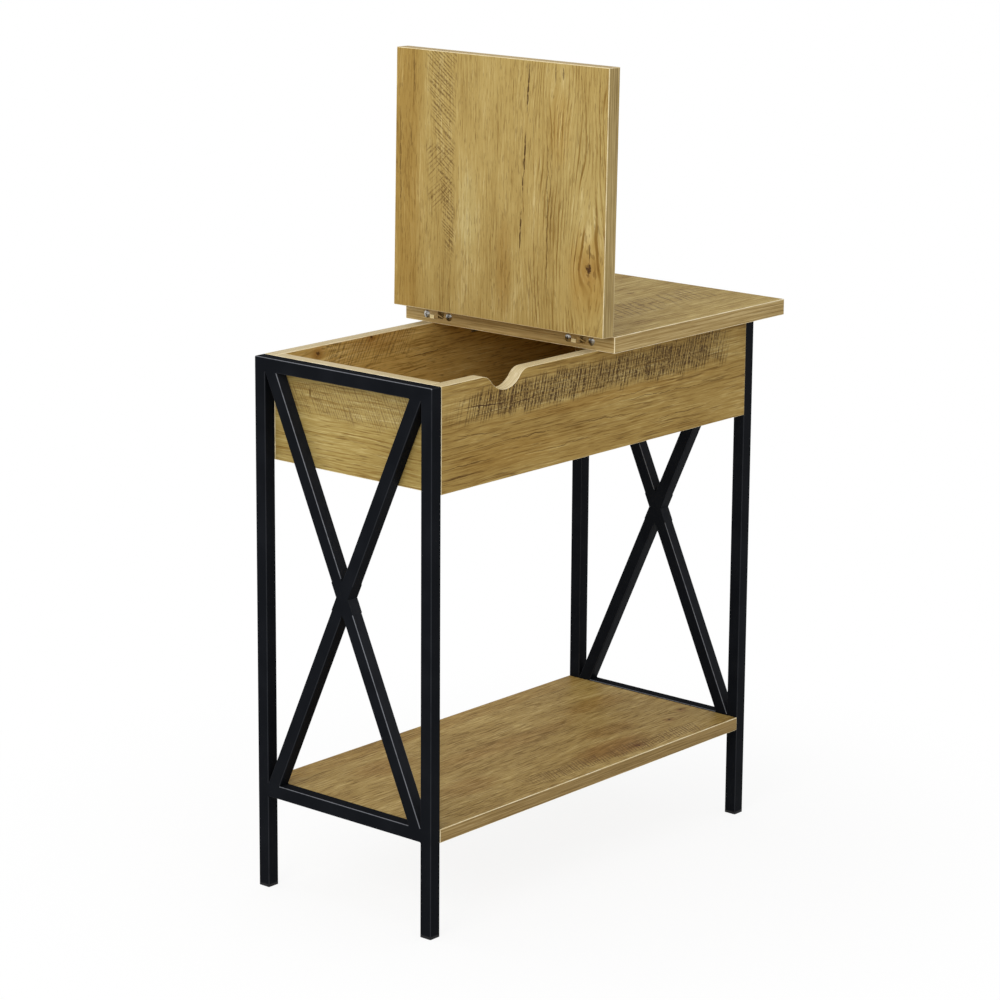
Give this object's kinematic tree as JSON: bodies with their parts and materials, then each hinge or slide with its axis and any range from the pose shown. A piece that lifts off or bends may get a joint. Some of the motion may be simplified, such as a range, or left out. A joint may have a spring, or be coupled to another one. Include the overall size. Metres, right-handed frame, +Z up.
{
  "type": "lift top end table",
  "caption": "Narrow end table with X-braced square-tube end frames, a storage box under a hinged flip top, a finger notch and a lower shelf.",
  "frame": {"origin": "on the floor, under the middle of the whole table's box with the lid upright", "axes": "+Z up, +X along the table towards the fixed half of the top, +Y from the front, with the finger notch, to the back"},
  "size_m": [0.572, 0.3, 0.8979],
  "materials": {
    "steel_frame": "black satin powder coat",
    "laminated_board": "golden oak woodgrain laminate with paler edge bands, satin",
    "dowel_wood": "plain beech",
    "foot_plastic": "black moulded plastic",
    "hinge_brass": "brass plated, satin",
    "zinc_steel": "bright zinc plated"
  },
  "bodies": {
    "root": {"left_front_leg": "steel_frame", "left_back_leg": "steel_frame", "left_top_rail": "steel_frame", "left_bottom_rail": "steel_frame", "left_long_brace": "steel_frame", "left_upper_half_brace": "steel_frame", "left_lower_half_brace": "steel_frame", "left_shelf_tabs": "steel_frame", "left_front_foot": "foot_plastic", "left_back_foot": "foot_plastic", "left_frame_bolts": "zinc_steel", "left_frame_washers": "zinc_steel", "left_rivet_nuts": "zinc_steel", "left_shelf_screws": "zinc_steel", "right_front_leg": "steel_frame", "right_back_leg": "steel_frame", "right_top_rail": "steel_frame", "right_bottom_rail": "steel_frame", "right_long_brace": "steel_frame", "right_upper_half_brace": "steel_frame", "right_lower_half_brace": "steel_frame", "right_shelf_tabs": "steel_frame", "right_front_foot": "foot_plastic", "right_back_foot": "foot_plastic", "right_frame_bolts": "zinc_steel", "right_frame_washers": "zinc_steel", "right_rivet_nuts": "zinc_steel", "right_shelf_screws": "zinc_steel", "box_front_panel": "laminated_board", "box_back_panel": "laminated_board", "box_left_panel": "laminated_board", "box_right_panel": "laminated_board", "box_bottom_panel": "laminated_board", "shelf": "laminated_board", "fixed_top": "laminated_board", "box_dowels": "dowel_wood", "top_brackets": "zinc_steel", "top_bracket_screws": "zinc_steel", "front_hinge_fixed_leaf": "hinge_brass", "front_hinge_pin": "hinge_brass", "back_hinge_fixed_leaf": "hinge_brass", "back_hinge_pin": "hinge_brass", "hinge_fixed_screws": "zinc_steel"},
    "lid": {"lid": "laminated_board", "front_hinge_lid_leaf": "hinge_brass", "back_hinge_lid_leaf": "hinge_brass", "hinge_lid_screws": "zinc_steel"}
  },
  "joints": [
    {"name": "lid_hinge", "type": "hinge", "parent": "root", "child": "lid", "pos_m": [-0.0228, 0, 0.6104], "axis": [0, 1, 0], "range_deg": [-91, 89]}
  ]
}
